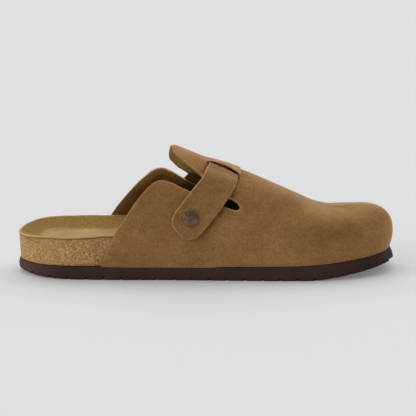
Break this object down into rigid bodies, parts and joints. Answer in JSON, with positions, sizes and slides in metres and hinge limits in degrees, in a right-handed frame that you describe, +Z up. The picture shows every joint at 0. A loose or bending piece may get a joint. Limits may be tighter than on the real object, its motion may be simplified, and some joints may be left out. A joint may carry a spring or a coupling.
{
  "type": "clog slipper",
  "caption": "Left-foot suede clog slipper with closed toe, open heel, cork footbed, foam-rubber outsole and a riveted strap over the instep.",
  "frame": {"origin": "bottom centre of the shoe's box, on the floor", "axes": "+X from heel to toe, +Y towards the shoe's outer (lateral) side, +Z up"},
  "size_m": [0.2848, 0.1046, 0.0956],
  "materials": {
    "outsole": "matt moulded foam rubber",
    "cork": "sealed pressed cork",
    "liner": "napped suede",
    "suede": "napped suede, raw cut edges",
    "rivet": "aged copper, satin"
  },
  "bodies": {
    "root": {"outsole": "outsole", "footbed": "cork", "insole": "liner", "upper": "suede", "strap": "suede", "keeper": "suede", "rivet_medial": "rivet", "rivet_lateral": "rivet"}
  },
  "joints": []
}
